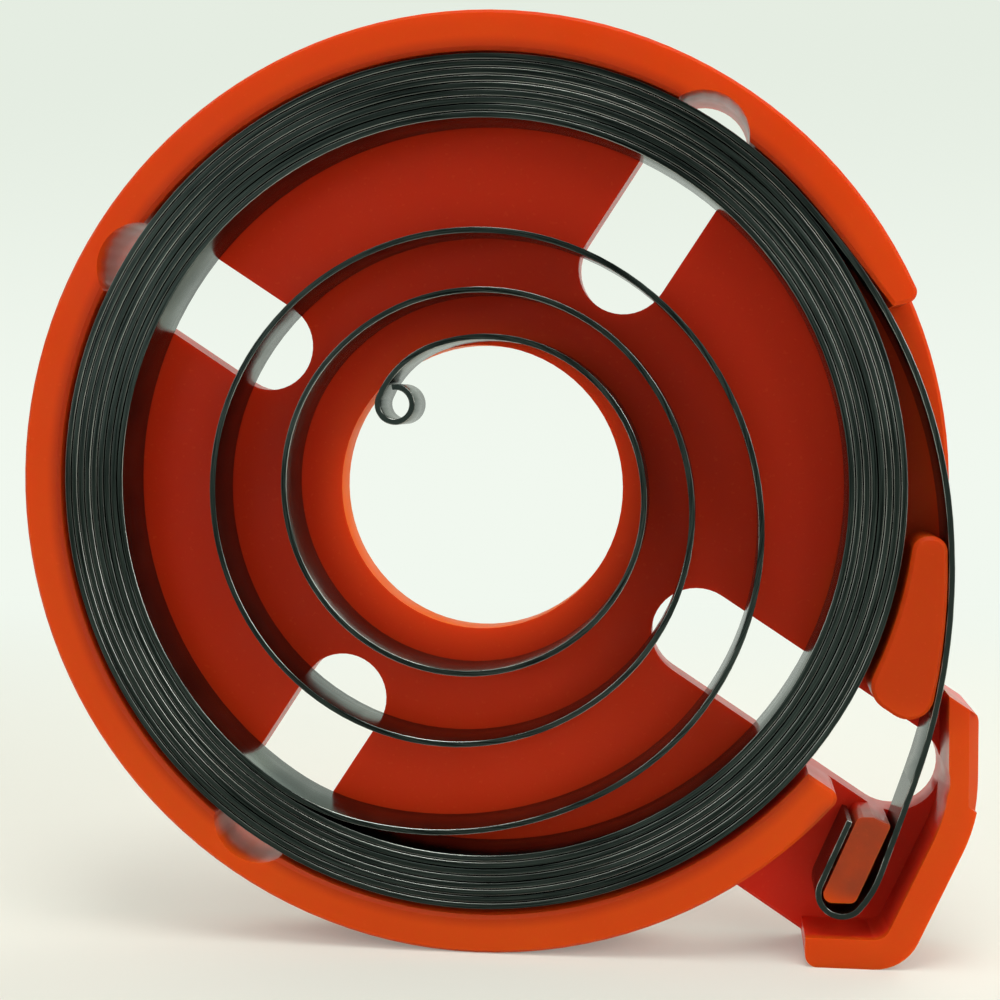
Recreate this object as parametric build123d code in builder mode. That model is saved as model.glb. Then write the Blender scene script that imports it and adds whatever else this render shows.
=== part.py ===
"""Recoil starter spring: a flat strip of spring steel coiled in its open moulded holder.

X runs to the right and Z up as the holder stands on its rim. Y runs from the open face to the back.
The origin is the centre of the hub bore at the back face. Sizes are in millimetres, angles in degrees.
"""
import math
import os
from collections import namedtuple

from build123d import *

# Steel strip
STRIP_THICKNESS = 0.5
STRIP_WIDTH = 5.0

# Holder
RIM_RADIUS = 40.0
RIM_WALL = 3.3
FLOOR_THICKNESS = 2.8
STRIP_RECESS = 0.3
HUB_BORE_RADIUS = 12.5
EDGE_CHAMFER = 0.3

# Four radial slots through the floor, the last one running on into the pocket
SLOT_WIDTH = 7.8
SLOT_START_RADIUS = 18.8
SLOT_BITE = 1.9
SLOT_AZIMUTHS = (56, 146, 236)
HOOK_SLOT_AZIMUTH = 326
HOOK_SLOT_OVERRUN = 6.8

# Tight turns, from the outermost inwards
WALL_CLEARANCE = 0.15
TURN_GAP = 0.1
HALF_TURNS = 17
PACK_AZIMUTH = 42

# Loose turns inside the pack: radius as a share of the innermost tight turn, and angle turned
LOOSE_TURNS = (
    (0.991, 14),
    (0.660, 22),
    (0.984, 44),
    (0.807, 44),
    (0.830, 66),
    (0.743, 88),
    (0.698, 88),
    (0.662, 88),
    (0.627, 88),
    (0.556, 88),
    (0.523, 88),
    (0.499, 88),
    (0.473, 66),
    (0.431, 94),
)
TAIL_RADIUS = 8.0
TAIL_TURN = 48
EYE_BORE_RADIUS = 1.25
EYE_TURN = 303

# Outer end of the strip: it leaves the pack, bends round the post and hooks over the anchor.
# The leading bends have their radius as a share of the pack's, and the angle turned.
LEAD_TURNS = ((1.873, 6.1), (1.153, 31.1), (1.488, 23.7))
LEAD_STRAIGHT = 8.0
HOOK_EASE_RADIUS = 9.7
HOOK_EASE_TURN = 21.0
HOOK_RADIUS = 1.9
HOOK_TURN = 163.5
HOOK_LEG = 6.0

# Gap in the rim wall where the strip leaves
TIP_AZIMUTH = 37
TIP_LENGTH = 9.0
TIP_END_AZIMUTH = 22.5
WALL_CORNER_RADIUS = 0.9

# Post that the strip bears on, its corners rounded by a share of its width there
POST_CLEARANCE = 0.1
POST_TOP = -3.8
POST_SLOT_MARGIN = 0.25
POST_TOP_ROUNDING = 0.49
POST_FOOT_ROUNDING = 0.35

# Anchor that the strip hooks over
ANCHOR_WIDTH = 2.7
ANCHOR_CLEARANCE = 0.25
ANCHOR_FOOT_DROP = 0.75
ANCHOR_RISE = 6.6
ANCHOR_CORNER_RADIUS = 0.7
ANCHOR_RECESS = 0.4

# Pocket round the anchor, placed along and across the long slot
POCKET_WALL = 2.5
POCKET_UPPER_SIDE = 8.0
POCKET_SIDE_GAP = 2.5
POCKET_BEND_DROP = 8.4
POCKET_FOOT_LEAN = 24.5
POCKET_TOP_RADIUS = 1.2
POCKET_BEND_RADIUS = 15.0
POCKET_TOE_RADIUS = 4.0
POCKET_HEEL_RADIUS = 1.0
POCKET_KNEE_RADIUS = 0.3
POCKET_KNEE_RISE = 1.25
POCKET_FOOT_WIDTH = 8.1
LEAD_IN_CHAMFER = 1.1
LEAD_IN_OFFSET = 1.3

# Sizes that follow from the ones above
INNER_WALL_RADIUS = RIM_RADIUS - RIM_WALL
WALL_HEIGHT = STRIP_WIDTH + STRIP_RECESS
HOLDER_DEPTH = FLOOR_THICKNESS + WALL_HEIGHT
TURN_PITCH = STRIP_THICKNESS + TURN_GAP
HALF_STRIP = STRIP_THICKNESS / 2
PACK_RADIUS = INNER_WALL_RADIUS - WALL_CLEARANCE - HALF_STRIP
INNER_TURN_RADIUS = PACK_RADIUS - HALF_TURNS * TURN_PITCH / 2
EYE_RADIUS = EYE_BORE_RADIUS + HALF_STRIP
SLOT_END_RADIUS = SLOT_WIDTH / 2
HOOK_SLOT_REACH = RIM_RADIUS + HOOK_SLOT_OVERRUN
FAR = 2 * RIM_RADIUS

Leg = namedtuple("Leg", "start end heading radius centre turn")


def polar(radius, azimuth):
    """Point at a distance and azimuth from the disc's centre."""
    return Vector(radius, 0).rotate(Axis.Z, azimuth)


def from_slot(along, across):
    """Point measured along and across the long slot, from the disc's centre."""
    return Vector(along, across).rotate(Axis.Z, HOOK_SLOT_AZIMUTH)


def arc_leg(start, heading, radius, turn):
    """A stretch of strip that bends; a positive turn is anticlockwise."""
    side = math.copysign(radius, turn)
    centre = start + Vector(0, side).rotate(Axis.Z, heading)
    end = centre + (start - centre).rotate(Axis.Z, turn)
    return Leg(start, end, heading, radius, centre, turn)


def straight_leg(start, heading, length):
    """A stretch of strip that runs straight."""
    end = start + Vector(length, 0).rotate(Axis.Z, heading)
    return Leg(start, end, heading, 0, None, 0)


def join_arcs(start, heading, bends):
    """Tangent bends one after another, each given as a radius and a turn."""
    legs = []
    for radius, turn in bends:
        legs.append(arc_leg(start, heading, radius, turn))
        start = legs[-1].end
        heading += turn
    return legs


def inward_legs():
    """The strip from the outermost tight turn to the eye."""
    step = TURN_PITCH / 2
    bends = [(PACK_RADIUS - step / 2 - step * count, 180) for count in range(HALF_TURNS)]
    bends += [(share * INNER_TURN_RADIUS, turn) for share, turn in LOOSE_TURNS]
    bends += [(TAIL_RADIUS, TAIL_TURN), (EYE_RADIUS, EYE_TURN)]
    return join_arcs(polar(PACK_RADIUS, PACK_AZIMUTH), PACK_AZIMUTH + 90, bends)


def outward_legs():
    """The strip from the outermost tight turn to the end of the hook."""
    heading = PACK_AZIMUTH - 90
    lead = [(share * PACK_RADIUS, -turn) for share, turn in LEAD_TURNS]
    legs = join_arcs(polar(PACK_RADIUS, PACK_AZIMUTH), heading, lead)
    heading += sum(turn for radius, turn in lead)
    legs.append(straight_leg(legs[-1].end, heading, LEAD_STRAIGHT))
    hook = [(HOOK_EASE_RADIUS, -HOOK_EASE_TURN), (HOOK_RADIUS, -HOOK_TURN)]
    legs += join_arcs(legs[-1].end, heading, hook)
    heading += sum(turn for radius, turn in hook)
    legs.append(straight_leg(legs[-1].end, heading, HOOK_LEG))
    return legs


def draw_side(leg, offset):
    """One side of a stretch of strip, outside its middle line by the offset."""
    if leg.turn:
        spoke = leg.start - leg.centre
        first = math.degrees(math.atan2(spoke.Y, spoke.X))
        CenterArc(leg.centre, leg.radius + offset, first, leg.turn)
    else:
        across = Vector(0, offset).rotate(Axis.Z, leg.heading)
        Line(leg.start + across, leg.end + across)


def draw_strip(inward, outward):
    """The strip's whole outline, seen on its edge."""
    for leg in inward + outward:
        draw_side(leg, HALF_STRIP)
        draw_side(leg, -HALF_STRIP)
    eye = inward[-1]
    eye_spoke = (eye.end - eye.centre).normalized() * HALF_STRIP
    Line(eye.end - eye_spoke, eye.end + eye_spoke)
    leg = outward[-1]
    across = Vector(0, HALF_STRIP).rotate(Axis.Z, leg.heading)
    Line(leg.end - across, leg.end + across)


inward = inward_legs()
outward = outward_legs()
bearing_leg = outward[len(LEAD_TURNS) - 1]
hook_bend = outward[-2]
hook_leg = outward[-1]

foot_z = -RIM_RADIUS
along_slot = from_slot(1, 0)
across_slot = from_slot(0, 1)
pocket_side_x = bearing_leg.end.X + HALF_STRIP + POCKET_SIDE_GAP + POCKET_WALL
upper_reach = (pocket_side_x - POCKET_UPPER_SIDE * across_slot.X) / along_slot.X
pocket_top = from_slot(upper_reach, POCKET_UPPER_SIDE)
pocket_bend = pocket_top - Vector(0, POCKET_BEND_DROP)
foot_lean = (pocket_bend.Y - foot_z) * math.tan(math.radians(POCKET_FOOT_LEAN))
pocket_toe = Vector(pocket_bend.X - foot_lean, foot_z)
pocket_heel = pocket_toe - Vector(POCKET_FOOT_WIDTH, 0)
pocket_knee = pocket_heel + Vector(0, POCKET_KNEE_RISE)
lower_side = pocket_knee.dot(across_slot)


def round_corner(near, radius):
    """Round the corner of the sketch nearest to a point."""
    fillet(vertices().sort_by_distance(near)[0], radius)


def round_pair(pair, share):
    """Round two corners of the sketch by a share of the distance between them."""
    fillet(pair, share * pair[0].distance_to(pair[1]))


def pocket_outline(mode=Mode.ADD):
    """Outline of the floor under the pocket, reaching back into the disc."""
    with BuildLine() as outline:
        FilletPolyline(
            from_slot(0, lower_side),
            pocket_knee,
            pocket_heel,
            pocket_toe,
            pocket_bend,
            pocket_top,
            from_slot(0, POCKET_UPPER_SIDE),
            radius=(
                POCKET_KNEE_RADIUS,
                POCKET_HEEL_RADIUS,
                POCKET_TOE_RADIUS,
                POCKET_BEND_RADIUS,
                POCKET_TOP_RADIUS,
            ),
        )
        Line(from_slot(0, POCKET_UPPER_SIDE), from_slot(0, lower_side))
    make_face(outline.edges(), mode=mode)


def pocket_wall():
    """Wall round the outer sides of the pocket."""
    with BuildLine() as wall:
        FilletPolyline(
            pocket_heel,
            pocket_toe,
            pocket_bend,
            pocket_top + Vector(0, POCKET_WALL),
            radius=(POCKET_TOE_RADIUS, POCKET_BEND_RADIUS),
        )
        offset(amount=POCKET_WALL, side=Side.LEFT)
    make_face(wall.edges())
    pocket_outline(mode=Mode.INTERSECT)


def pocket_lead_in():
    """Triangle that chamfers the outer front edge of the pocket wall's upper stretch."""
    Polygon(
        (-1.5 * LEAD_IN_CHAMFER, -0.5 * LEAD_IN_CHAMFER),
        (LEAD_IN_CHAMFER, 2 * LEAD_IN_CHAMFER),
        (LEAD_IN_CHAMFER, -0.5 * LEAD_IN_CHAMFER),
        align=None,
    )


def rim_wall():
    """Open ring of wall that holds the pack, with a lead-out at its upper tip."""
    lead_start = polar(INNER_WALL_RADIUS, TIP_AZIMUTH)
    lead_end = lead_start + Vector(TIP_LENGTH, 0).rotate(Axis.Z, TIP_AZIMUTH - 90)
    tip = polar(RIM_RADIUS, TIP_END_AZIMUTH)
    with BuildLine() as ring:
        CenterArc((0, 0), RIM_RADIUS, TIP_END_AZIMUTH, HOOK_SLOT_AZIMUTH - TIP_END_AZIMUTH)
        Line(polar(RIM_RADIUS, HOOK_SLOT_AZIMUTH), polar(INNER_WALL_RADIUS, HOOK_SLOT_AZIMUTH))
        CenterArc((0, 0), INNER_WALL_RADIUS, TIP_AZIMUTH, HOOK_SLOT_AZIMUTH - TIP_AZIMUTH)
        Polyline(lead_start, lead_end, tip)
    make_face(ring.edges())
    with Locations(from_slot(RIM_RADIUS, 0)):
        Rectangle(RIM_RADIUS, SLOT_WIDTH, rotation=HOOK_SLOT_AZIMUTH, mode=Mode.SUBTRACT)
    round_corner(tip, WALL_CORNER_RADIUS)
    round_corner(from_slot(RIM_RADIUS, -SLOT_END_RADIUS), WALL_CORNER_RADIUS)


def post():
    """Post whose outer face the strip bears on and whose inner face carries on the rim wall's."""
    with Locations(bearing_leg.centre):
        Circle(bearing_leg.radius - HALF_STRIP - POST_CLEARANCE)
    Circle(INNER_WALL_RADIUS, mode=Mode.SUBTRACT)
    with Locations(from_slot(RIM_RADIUS, SLOT_END_RADIUS + POST_SLOT_MARGIN)):
        Rectangle(
            FAR, FAR, rotation=HOOK_SLOT_AZIMUTH, align=(Align.CENTER, Align.MIN), mode=Mode.INTERSECT
        )
    with Locations((0, POST_TOP)):
        Rectangle(FAR, FAR, align=(Align.MIN, Align.MAX), mode=Mode.INTERSECT)
    round_pair(vertices().sort_by(Axis.Y)[:2], POST_FOOT_ROUNDING)
    round_pair(vertices().sort_by(Axis.Y)[-2:], POST_TOP_ROUNDING)


def anchor():
    """Post that the hook wraps, with one side along the hook's leg."""
    near = HALF_STRIP + ANCHOR_CLEARANCE
    far = near + ANCHOR_WIDTH
    low = hook_bend.centre.Y - ANCHOR_FOOT_DROP
    high = hook_bend.centre.Y + ANCHOR_RISE

    def beside_leg(gap, height):
        edge = hook_leg.start + Vector(0, -gap).rotate(Axis.Z, hook_leg.heading)
        run = (height - edge.Y) / math.tan(math.radians(hook_leg.heading))
        return Vector(edge.X + run, height)

    Polygon(
        beside_leg(near, low),
        beside_leg(far, low),
        beside_leg(far, high),
        beside_leg(near, high),
        align=None,
    )
    fillet(vertices(), ANCHOR_CORNER_RADIUS)


def slots():
    """The four slots with round ends."""
    start = SLOT_START_RADIUS + SLOT_END_RADIUS
    reaches = [(azimuth, INNER_WALL_RADIUS + SLOT_BITE) for azimuth in SLOT_AZIMUTHS]
    for azimuth, reach in reaches + [(HOOK_SLOT_AZIMUTH, HOOK_SLOT_REACH)]:
        end = reach - SLOT_END_RADIUS
        with Locations(polar((start + end) / 2, azimuth)):
            SlotCenterToCenter(end - start, SLOT_WIDTH, rotation=azimuth)


def soften_edges(depth):
    """Break the edges that the last extrusion made this far in front of the back face."""
    chamfer(edges(Select.LAST).filter_by_position(Axis.Y, -depth, -depth), EDGE_CHAMFER)


lead_in_reach = (pocket_side_x - LEAD_IN_OFFSET * across_slot.X) / along_slot.X
lead_in_edge = from_slot(lead_in_reach, LEAD_IN_OFFSET)
lead_in_plane = Plane(
    origin=(lead_in_edge.X, -HOLDER_DEPTH, lead_in_edge.Y),
    x_dir=(along_slot.X, 0, along_slot.Y),
    z_dir=(across_slot.X, 0, across_slot.Y),
)

with BuildPart() as spring_case:
    with BuildSketch(Plane.XZ):
        Circle(RIM_RADIUS)
        pocket_outline()
    extrude(amount=FLOOR_THICKNESS)
    soften_edges(FLOOR_THICKNESS)
    with BuildSketch(Plane.XZ):
        rim_wall()
    extrude(amount=HOLDER_DEPTH)
    soften_edges(HOLDER_DEPTH)
    with BuildSketch(Plane.XZ):
        post()
    extrude(amount=HOLDER_DEPTH)
    soften_edges(HOLDER_DEPTH)
    with BuildSketch(Plane.XZ):
        pocket_wall()
    extrude(amount=HOLDER_DEPTH)
    with BuildSketch(Plane.XZ):
        anchor()
    extrude(amount=HOLDER_DEPTH - ANCHOR_RECESS)
    with BuildSketch(lead_in_plane):
        pocket_lead_in()
    extrude(amount=POCKET_UPPER_SIDE, dir=(0, 0, 1), mode=Mode.SUBTRACT)
    with BuildSketch(Plane.XZ):
        slots()
    extrude(amount=HOLDER_DEPTH, mode=Mode.SUBTRACT)
    with BuildSketch(Plane.XZ):
        Circle(HUB_BORE_RADIUS)
    extrude(amount=FLOOR_THICKNESS, mode=Mode.SUBTRACT)

with BuildPart() as coil_spring:
    with BuildSketch(Plane.XZ.offset(FLOOR_THICKNESS)):
        with BuildLine():
            draw_strip(inward, outward)
        make_face()
    extrude(amount=STRIP_WIDTH)

os.makedirs("parts", exist_ok=True)
spring_case.part.label = "spring_case"
export_step(spring_case.part, "parts/spring_case.step")
coil_spring.part.label = "coil_spring"
export_step(coil_spring.part, "parts/coil_spring.step")
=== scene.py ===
import math

import bpy
from mathutils import Euler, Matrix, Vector


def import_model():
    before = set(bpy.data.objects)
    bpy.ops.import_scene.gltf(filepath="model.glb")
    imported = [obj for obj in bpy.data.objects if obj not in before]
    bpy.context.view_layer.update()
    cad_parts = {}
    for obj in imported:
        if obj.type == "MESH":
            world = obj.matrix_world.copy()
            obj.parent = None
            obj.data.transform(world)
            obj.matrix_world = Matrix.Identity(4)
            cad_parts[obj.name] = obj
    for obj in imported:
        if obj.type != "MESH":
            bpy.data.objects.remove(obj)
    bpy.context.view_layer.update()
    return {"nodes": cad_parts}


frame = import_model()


def srgb(red, green, blue):
    """Linear colour of a colour written in 0-255 screen values."""
    return tuple(
        v / 12.92 if v <= 0.04045 else ((v + 0.055) / 1.055) ** 2.4
        for v in (c / 255 for c in (red, green, blue))
    ) + (1,)


# Camera, from the photograph's perspective: place in metres, directions in degrees
CAMERA_PLACE = (0.02027, -0.1331, 0.00781)
CAMERA_HEADING = 8.106
CAMERA_ELEVATION = -3.876
CAMERA_ROLL = 0.66
CAMERA_NEAREST = 0.005
CAMERA_FARTHEST = 20
FOCAL_PIXELS = 1500
PHOTO_PIXELS = 1000
SENSOR_WIDTH = 36

# Holder, in metres
INNER_WALL_RADIUS = 0.0367
HUB_BORE_RADIUS = 0.0125
ANCHOR_MIDDLE = (0.0321, -0.0077, -0.0300)
POST_MIDDLE = (0.0372, -0.0081, -0.0105)

# Where the holder's tones, painted light and painted shade begin and end, in metres
FRONT_TONE_DEPTHS = (-0.0078, -0.0071)
FRONT_LIGHT_HEIGHTS = (-0.03, 0.02)
FLOOR_LIGHT_HEIGHTS = (-0.03, 0.0)
RIM_TONE_RADII = (0.034, 0.0385)
POCKET_TONE_REACHES = (0.045, 0.052)
HUB_GLOW_RADII = (HUB_BORE_RADIUS, 0.0158)
BORE_GLOW_RADII = (0.0127, 0.0130)
INNER_EDGE_SHADE_RADII = (INNER_WALL_RADIUS, 0.038)
POST_SHADE_DISTANCES = (0.006, 0.011)
ANCHOR_SHADE_DISTANCES = (0.0034, 0.0052)
GLOSSY_SIDE_RADII = (0.0130, 0.0145)

# How much a face points to the front or back, to the back alone, and out of the pocket to the
# lower right, where a tone changes
SIDE_TO_FLAT = (0.2, 0.7)
SIDE_TO_BACK = (0.3, 0.7)
INWARD_TO_OUTWARD = (0.15, 0.6)

# Noise steps per metre
CLOUD_SCALE = 70
WAVE_SCALE = 120
PATCH_SCALE = 160
SHINE_SCALE = 300
ANCHOR_SHADE_SCALE = 500
SPECK_SCALE = 2600
GRAIN_SCALE = 4200

PLASTIC = {
    # Painted shade on the floor and painted light on the front, both lighter towards the bottom
    "floor low bounce lit": srgb(200, 50, 12),
    "floor high shaded": srgb(184, 38, 8),
    "front low bounce lit": srgb(200, 70, 8),
    "front high lit": srgb(200, 62, 3),
    "pocket": srgb(212, 44, 24),
    "cloud": srgb(192, 46, 4),
    "hub_glow": srgb(216, 66, 6),
    "bore_glow": srgb(232, 98, 20),
    "inner edge shade": srgb(120, 26, 8),
    "post_shade": srgb(178, 54, 3),
    "anchor_shade": srgb(120, 54, 32),
    "speck": srgb(228, 100, 50),
}

# Steel strip: noise steps round the disc, and per metre across the strip and from turn to turn
MARKS_ROUND = 4.0
MARKS_ACROSS = 9000.0
WEAR_AND_GLINT_ROUND = 1.6
WEAR_AND_GLINT_ACROSS = 1700.0

# Inside and outside these radii lie the eye and the hook, which hardly show the marks
MARKED_INNER_RADII = (0.0118, 0.0128)
MARKED_OUTER_RADII = (0.0375, 0.0400)
FAINT_MARKS = 0.12

STEEL = {
    "face dark": srgb(74, 82, 78),
    "face light": srgb(98, 105, 98),
    "edge dark": srgb(15, 21, 20),
    "edge light": srgb(56, 66, 62),
    "corner dull": srgb(58, 66, 63),
    "corner bright": srgb(186, 190, 184),
}

# Rounding of the CAD nodes' corners
CORNER_SEGMENTS = 3
CORNER_ANGLE = 28

# Floor sweep, in metres
TABLE_HEIGHT = -0.04
SWEEP_WIDTH = 8.0
SWEEP_FRONT = -4.0
SWEEP_BEND_START = 0.35
SWEEP_BEND_RADIUS = 0.35
SWEEP_BEND_STEPS = 24
SWEEP_TOP = 1.6
GLOW_TONE_HEIGHTS = (TABLE_HEIGHT, 0.20)
GLOW_START_DEPTHS = (0.02, 0.22)
GLOW_NEAR_OBJECT = 0.2

SWEEP_PAPER = srgb(230, 229, 219)
SWEEP_LOW_GLOW = srgb(241, 248, 239)
SWEEP_HIGH_GLOW = srgb(229, 237, 226)

WORLD_COLOUR = srgb(238, 243, 236)
WORLD_STRENGTH = 0.38

# Name, place, width and height in metres, power in watts, colour
LAMPS = (
    ("front_right", (0.37, -0.30, 0.20), 0.40, 0.35, 1.2, (1.0, 0.99, 0.97)),
    ("front_left", (-0.30, -0.30, 0.30), 0.40, 0.35, 0.40, (1.0, 1.0, 1.0)),
    ("low_left", (-0.75, -0.95, 0.16), 1.05, 0.25, 2.1, (1.0, 1.0, 1.0)),
    ("top", (0.04, -0.10, 0.48), 0.25, 0.25, 1.2, (1.0, 1.0, 0.98)),
    ("back_right", (0.25, 0.26, 0.30), 0.35, 0.35, 0.75, (1.0, 1.0, 0.98)),
    ("back_left", (-0.25, 0.26, 0.30), 0.35, 0.35, 0.25, (1.0, 1.0, 1.0)),
)


class Shader:
    """A material's node tree, with short calls to add and join its nodes."""

    def __init__(self, name):
        self.material = bpy.data.materials.new(name)
        self.material.use_nodes = True
        self.tree = self.material.node_tree
        self.tree.nodes.clear()
        self.output = self.tree.nodes.new("ShaderNodeOutputMaterial")

    def add(self, kind, inputs, **settings):
        """Adds a node, and puts a value or a link on each named or numbered socket."""
        node = self.tree.nodes.new(kind)
        for key, value in settings.items():
            setattr(node, key, value)
        for key, value in inputs.items():
            if isinstance(value, bpy.types.NodeSocket):
                self.tree.links.new(value, node.inputs[key])
            else:
                node.inputs[key].default_value = value
        return node

    def math(self, operation, first, second=0.0):
        return self.add("ShaderNodeMath", {0: first, 1: second}, operation=operation).outputs[0]

    def times(self, first, second):
        return self.math("MULTIPLY", first, second)

    def ramp(self, value, low, high, out_low=0.0, out_high=1.0):
        inputs = {"Value": value, "From Min": low, "From Max": high,
                  "To Min": out_low, "To Max": out_high}
        return self.add("ShaderNodeMapRange", inputs, interpolation_type="SMOOTHSTEP").outputs[0]

    def fade(self, value, low, high):
        """1 up to the low end, 0 from the high end on."""
        return self.ramp(value, low, high, 1.0, 0.0)

    def mix(self, factor, first, second):
        """Mix of two colours, which a Mix node takes on sockets 6 and 7 and gives on output 2."""
        inputs = {0: factor, 6: first, 7: second}
        return self.add("ShaderNodeMix", inputs, data_type="RGBA").outputs[2]

    def noise(self, vector, scale, detail, roughness=0.5):
        inputs = {"Vector": vector, "Scale": scale, "Detail": detail, "Roughness": roughness}
        return self.add("ShaderNodeTexNoise", inputs).outputs["Fac"]

    def bump(self, height, strength, distance):
        inputs = {"Height": height, "Strength": strength, "Distance": distance}
        return self.add("ShaderNodeBump", inputs).outputs["Normal"]

    def vector(self, x, y, z):
        return self.add("ShaderNodeCombineXYZ", {"X": x, "Y": y, "Z": z}).outputs[0]

    def split(self, vector):
        return self.add("ShaderNodeSeparateXYZ", {"Vector": vector}).outputs

    def near(self, vector, middle, inner, outer):
        """1 within the inner distance of a point, 0 beyond the outer one."""
        node = self.add("ShaderNodeVectorMath", {0: vector, 1: middle}, operation="DISTANCE")
        return self.fade(node.outputs["Value"], inner, outer)

    def place(self):
        """Position in the part's frame, and its three coordinates."""
        vector = self.add("ShaderNodeTexCoord", {}).outputs["Object"]
        x, y, z = self.split(vector)
        return vector, x, y, z

    def facing(self):
        """Three coordinates of the direction that a face points in."""
        return self.split(self.add("ShaderNodeNewGeometry", {}).outputs["True Normal"])

    def from_axis(self, x, z):
        """Distance from the disc's axis."""
        return self.math("SQRT", self.math("ADD", self.times(x, x), self.times(z, z)))

    def surface(self, shader):
        self.tree.links.new(shader, self.output.inputs["Surface"])
        return self.material


def plastic():
    """Translucent orange-red moulded plastic, with a painted warmer glow at the hub and painted
    shade darkening the anchor.
    """
    s = Shader("case_plastic_moulded")
    vector, x, y, z = s.place()
    radius = s.from_axis(x, z)
    facing_x, facing_y, facing_z = s.facing()
    flatness = s.math("ABSOLUTE", facing_y)
    side = s.fade(flatness, *SIDE_TO_FLAT)

    # Painted light and shade: a lit tone on the thick front parts, a shaded deeper red on the floor
    # between them, and the pocket a tone of its own
    not_back = s.fade(facing_y, *SIDE_TO_BACK)
    not_outward = s.fade(s.math("SUBTRACT", facing_x, facing_z), *INWARD_TO_OUTWARD)
    front = s.fade(y, *FRONT_TONE_DEPTHS)
    # Painted light: the pocket's inward faces take a crimson tone set for the light that reaches
    # them, the outer faces keep the lit tone
    pocket = s.times(s.ramp(s.math("SUBTRACT", x, z), *POCKET_TONE_REACHES),
                     s.times(not_back, not_outward))
    rim = s.times(s.ramp(radius, *RIM_TONE_RADII), s.math("SUBTRACT", not_back, pocket))
    # Painted light from the table below: floor and front tones grow lighter towards the bottom
    floor_shaded_tone = s.mix(s.ramp(z, *FLOOR_LIGHT_HEIGHTS), PLASTIC["floor low bounce lit"], PLASTIC["floor high shaded"])
    front_lit_tone = s.mix(s.ramp(z, *FRONT_LIGHT_HEIGHTS), PLASTIC["front low bounce lit"], PLASTIC["front high lit"])
    colour = s.mix(s.math("MAXIMUM", front, rim),
                   s.mix(pocket, floor_shaded_tone, PLASTIC["pocket"]), front_lit_tone)

    # Clouds in the colour and specks; painted glow at the hub and bore; painted shade at the inner
    # edge, the post and the anchor
    cloud = s.times(s.ramp(s.noise(vector, CLOUD_SCALE, 3), 0.35, 0.65), 0.2)
    # Painted glow: the floor round the hub bore is made warmer and brighter, as if lit through the
    # bore
    hub_glow = s.times(s.ramp(radius, *HUB_GLOW_RADII, 0.5, 0.0), not_back)
    # Painted glow: the bore's side wall is made bright orange
    bore_glow = s.times(s.fade(radius, *BORE_GLOW_RADII), side)
    # Painted shade: the front face darkens along the wall's inner edge beside the steel
    inner_edge_shade = s.times(s.ramp(radius, *INNER_EDGE_SHADE_RADII, 0.6, 0.0), front)
    # Painted shade: the post is made darker round its middle
    post_shade = s.near(vector, POST_MIDDLE, *POST_SHADE_DISTANCES)
    # Painted shade: a blotchy grey-brown darkening round the anchor
    anchor_shade = s.times(s.near(vector, ANCHOR_MIDDLE, *ANCHOR_SHADE_DISTANCES),
                     s.ramp(s.noise(vector, ANCHOR_SHADE_SCALE, 3, 0.6), 0.25, 0.75, 0.60, 0.82))
    speck = s.ramp(s.noise(vector, SPECK_SCALE, 2), 0.62, 0.75, 0.0, 0.10)
    for share, tone in ((cloud, "cloud"), (hub_glow, "hub_glow"), (bore_glow, "bore_glow"), (inner_edge_shade, "inner edge shade"),
                        (post_shade, "post_shade"), (anchor_shade, "anchor_shade"), (speck, "speck")):
        colour = s.mix(share, colour, PLASTIC[tone])

    grain = s.times(s.noise(vector, GRAIN_SCALE, 3, 0.6), 0.25)
    waves = s.noise(vector, WAVE_SCALE, 2)
    glossy_side = s.times(s.ramp(flatness, *SIDE_TO_FLAT, 0.5, 0.0),
                          s.ramp(radius, *GLOSSY_SIDE_RADII))
    return s.surface(s.add("ShaderNodeBsdfPrincipled", {
        "Base Color": colour,
        "Roughness": s.ramp(s.noise(vector, SHINE_SCALE, 4), 0.3, 0.7, 0.40, 0.54),
        "IOR": 1.45,
        "Specular IOR Level": 0.12,
        "Subsurface Weight": 0.45,
        "Subsurface Radius": (1.0, 0.22, 0.08),
        "Subsurface Scale": 0.003,
        "Coat Weight": glossy_side,
        "Coat Roughness": 0.2,
        "Normal": s.bump(s.math("ADD", grain, waves), 0.25, 0.00004),
    }).outputs[0])


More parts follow.
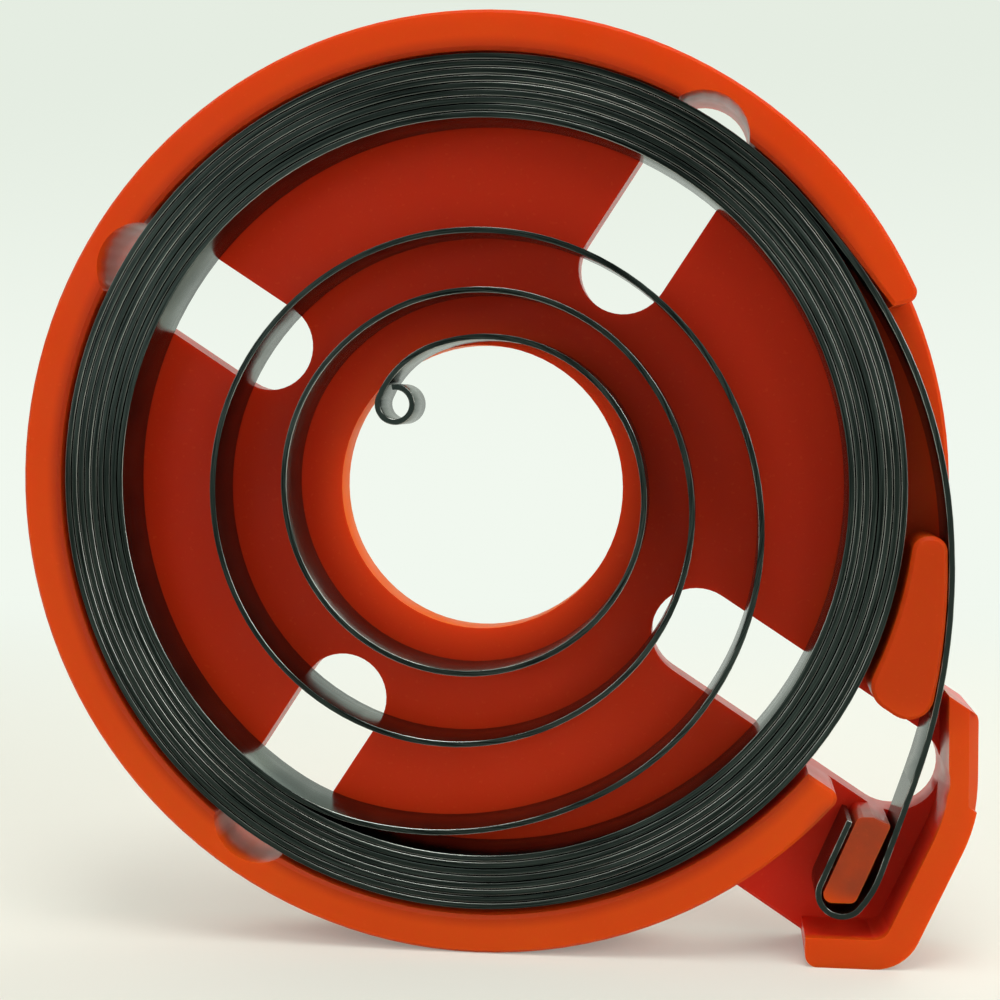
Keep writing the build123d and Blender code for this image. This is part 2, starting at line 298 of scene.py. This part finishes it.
def steel():
    """Blued spring steel: dark cut edges with bright corners, partly worn steel and partly painted
    highlight, and marks along the strip.
    """
    s = Shader("spring_steel_blued")
    vector, x, y, z = s.place()
    radius = s.from_axis(x, z)
    round_x = s.math("DIVIDE", x, radius)
    round_z = s.math("DIVIDE", z, radius)
    flatness = s.math("ABSOLUTE", s.facing()[1])

    across_strip = s.math("ADD", radius, y)
    marks = s.noise(s.vector(s.times(round_x, MARKS_ROUND), s.times(across_strip, MARKS_ACROSS),
                             s.times(round_z, MARKS_ROUND)), 1.0, 3, 0.6)
    marked = s.times(s.ramp(radius, *MARKED_OUTER_RADII, 1.0, FAINT_MARKS),
                     s.ramp(radius, *MARKED_INNER_RADII, FAINT_MARKS, 1.0))
    streak = s.math("ADD", s.times(s.math("SUBTRACT", marks, 0.5), marked), 0.5)
    wear_and_glint = s.noise(s.vector(s.times(round_x, WEAR_AND_GLINT_ROUND), s.times(radius, WEAR_AND_GLINT_ACROSS),
                            s.times(round_z, WEAR_AND_GLINT_ROUND)), 1.0, 2)
    patch = s.noise(vector, PATCH_SCALE, 3)

    face_tone = s.mix(s.ramp(patch, 0.35, 0.7), STEEL["face dark"], STEEL["face light"])
    edge_tone = s.mix(s.ramp(streak, 0.3, 0.7), STEEL["edge dark"], STEEL["edge light"])
    # Painted highlight, partly wear: the rounded corners take a brighter steel tone
    corner_wear_and_glint = s.mix(s.ramp(wear_and_glint, 0.35, 0.65), STEEL["corner dull"], STEEL["corner bright"])
    corner = s.times(s.ramp(flatness, 0.15, 0.4), s.fade(flatness, 0.88, 0.99))
    colour = s.mix(corner, s.mix(s.ramp(flatness, 0.3, 0.9), face_tone, edge_tone), corner_wear_and_glint)
    return s.surface(s.add("ShaderNodeBsdfPrincipled", {
        "Base Color": colour,
        "Metallic": 1.0,
        "Roughness": s.math("ADD", s.ramp(streak, 0.3, 0.7, 0.12, 0.26),
                            s.ramp(flatness, 0.1, 0.9, 0.0, 0.15)),
        "Anisotropic": 0.88,
        "Tangent": s.vector(round_x, 1.0, round_z),
        "Normal": s.bump(streak, 0.3, 0.00001),
    }).outputs[0])


def paper():
    """Pale studio sweep: it takes shadows near the object, and farther back shows its own colour."""
    s = Shader("sweep_paper")
    vector, x, y, z = s.place()
    glow = s.mix(s.ramp(z, *GLOW_TONE_HEIGHTS), SWEEP_LOW_GLOW, SWEEP_HIGH_GLOW)
    diffuse = s.add("ShaderNodeBsdfDiffuse", {"Color": SWEEP_PAPER})
    emission = s.add("ShaderNodeEmission", {"Color": glow, "Strength": 1.0})
    path = s.add("ShaderNodeLightPath", {}).outputs
    seen = s.math("MAXIMUM", path["Is Camera Ray"],
                  s.math("MAXIMUM", path["Is Glossy Ray"], path["Is Transmission Ray"]))
    away = s.ramp(y, *GLOW_START_DEPTHS, GLOW_NEAR_OBJECT, 1.0)
    return s.surface(s.add("ShaderNodeMixShader", {
        0: s.times(seen, away), 1: diffuse.outputs[0], 2: emission.outputs[0],
    }).outputs[0])


def finish_node(name, material, join_distance, corner_width):
    """Gives a CAD node its material, and rounds its corners a little.

    The mesh comes with split corners, so they are joined before the bevel."""
    obj = frame["nodes"][name]
    obj.data.materials.clear()
    obj.data.materials.append(material)
    weld = obj.modifiers.new("joined corners", "WELD")
    weld.merge_threshold = join_distance
    bevel = obj.modifiers.new("soft edges", "BEVEL")
    bevel.width = corner_width
    bevel.segments = CORNER_SEGMENTS
    bevel.limit_method = "ANGLE"
    bevel.angle_limit = math.radians(CORNER_ANGLE)
    bevel.harden_normals = True


def add_to_scene(name, data):
    obj = bpy.data.objects.new(name, data)
    bpy.context.scene.collection.objects.link(obj)
    return obj


def sweep():
    """Table and backdrop in one smooth sheet."""
    profile = [(SWEEP_FRONT, TABLE_HEIGHT), (SWEEP_BEND_START, TABLE_HEIGHT)]
    for step in range(1, SWEEP_BEND_STEPS + 1):
        turn = math.radians(90 * step / SWEEP_BEND_STEPS)
        profile.append((SWEEP_BEND_START + SWEEP_BEND_RADIUS * math.sin(turn),
                        TABLE_HEIGHT + SWEEP_BEND_RADIUS * (1 - math.cos(turn))))
    profile.append((SWEEP_BEND_START + SWEEP_BEND_RADIUS, SWEEP_TOP))
    corners = [(side * SWEEP_WIDTH / 2, y, z) for y, z in profile for side in (-1, 1)]
    faces = [(2 * i, 2 * i + 1, 2 * i + 3, 2 * i + 2) for i in range(len(profile) - 1)]
    mesh = bpy.data.meshes.new("studio_sweep")
    mesh.from_pydata(corners, [], faces)
    mesh.polygons.foreach_set("use_smooth", [True] * len(faces))
    mesh.materials.append(paper())
    add_to_scene("studio_sweep", mesh)


def softbox(name, place, width, height, power, colour):
    """Rectangular area light aimed at the middle of the part."""
    data = bpy.data.lights.new(name, "AREA")
    data.shape = "RECTANGLE"
    data.size = width
    data.size_y = height
    data.energy = power
    data.color = colour
    obj = add_to_scene(name, data)
    obj.location = place
    obj.rotation_euler = (-Vector(place)).to_track_quat("-Z", "Y").to_euler()


def camera():
    """Camera at the photograph's place and angle."""
    data = bpy.data.cameras.new("photo_camera")
    data.sensor_width = SENSOR_WIDTH
    data.lens = SENSOR_WIDTH * FOCAL_PIXELS / PHOTO_PIXELS
    data.clip_start = CAMERA_NEAREST
    data.clip_end = CAMERA_FARTHEST
    obj = add_to_scene("photo_camera", data)
    obj.location = CAMERA_PLACE
    look = Euler((math.radians(90 + CAMERA_ELEVATION), 0, math.radians(CAMERA_HEADING)), "XYZ")
    roll = Euler((0, 0, -math.radians(CAMERA_ROLL)), "XYZ")
    obj.rotation_euler = (look.to_matrix() @ roll.to_matrix()).to_euler()
    bpy.context.scene.camera = obj


def world():
    """Even pale light from all round."""
    made = bpy.data.worlds.new("studio_light")
    bpy.context.scene.world = made
    made.use_nodes = True
    background = made.node_tree.nodes["Background"]
    background.inputs["Color"].default_value = WORLD_COLOUR
    background.inputs["Strength"].default_value = WORLD_STRENGTH


camera()
world()
sweep()
for lamp in LAMPS:
    softbox(*lamp)
finish_node("spring_case", plastic(), join_distance=0.00002, corner_width=0.00012)
finish_node("coil_spring", steel(), join_distance=0.000005, corner_width=0.00008)

bpy.context.scene.view_settings.view_transform = "Standard"
